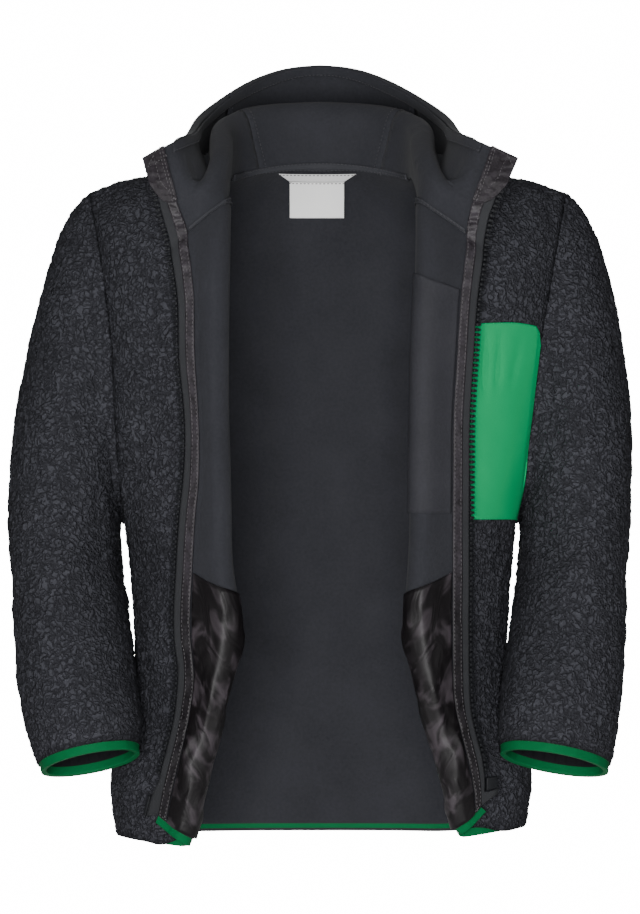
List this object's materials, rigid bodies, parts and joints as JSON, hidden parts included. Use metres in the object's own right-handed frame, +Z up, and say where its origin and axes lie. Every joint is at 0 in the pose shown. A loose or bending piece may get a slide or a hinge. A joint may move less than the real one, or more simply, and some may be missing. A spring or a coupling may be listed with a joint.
{
  "type": "hooded fleece jacket",
  "caption": "Open hooded fleece jacket in worn form, with its fronts folded back like lapels, long sleeves, a folded-down hood, a chest pocket, a full zip and bound hem and cuffs.",
  "frame": {"origin": "middle of the neck opening, 4.5 mm below the middle of the back neck seam, where a wearer's neck and shoulders hold the jacket", "axes": "+X towards the wearer's left, +Y towards the back, +Z up; the open front faces -Y"},
  "size_m": [0.4966, 0.2777, 0.6302],
  "materials": {
    "fleece": "curly pile, matte",
    "lining_cloth": "smooth knit, matte",
    "taffeta": "fine weave with a soft shine",
    "green_cloth": "plain weave, matte",
    "green_binding": "stretch binding, matte",
    "zip_tape": "woven tape, matte",
    "zip_plastic": "moulded, satin",
    "label": "woven, satin"
  },
  "bodies": {
    "root": {"back_panel": "fleece", "front_right": "fleece", "front_left": "fleece", "sleeve_right": "fleece", "sleeve_left": "fleece", "hood_side_right": "fleece", "hood_side_left": "fleece", "hood_centre": "fleece", "chest_pocket_bag": "lining_cloth", "neck_tape_back": "lining_cloth", "neck_tape_right": "lining_cloth", "neck_tape_left": "lining_cloth", "hood_hem": "lining_cloth", "facing_right": "taffeta", "facing_left": "taffeta", "chin_guard_right": "taffeta", "chin_guard_left": "taffeta", "hand_pocket_bag_right": "taffeta", "hand_pocket_bag_left": "taffeta", "chest_pocket": "green_cloth", "hem_binding_back": "green_binding", "hem_binding_right": "green_binding", "hem_binding_left": "green_binding", "cuff_binding_right": "green_binding", "cuff_binding_left": "green_binding", "zip_tape_right": "zip_tape", "zip_tape_left": "zip_tape", "label_tab": "zip_tape", "zip_teeth_right": "zip_plastic", "zip_teeth_left": "zip_plastic", "zip_pin": "zip_plastic", "zip_box": "zip_plastic", "label": "label"}
  },
  "joints": []
}
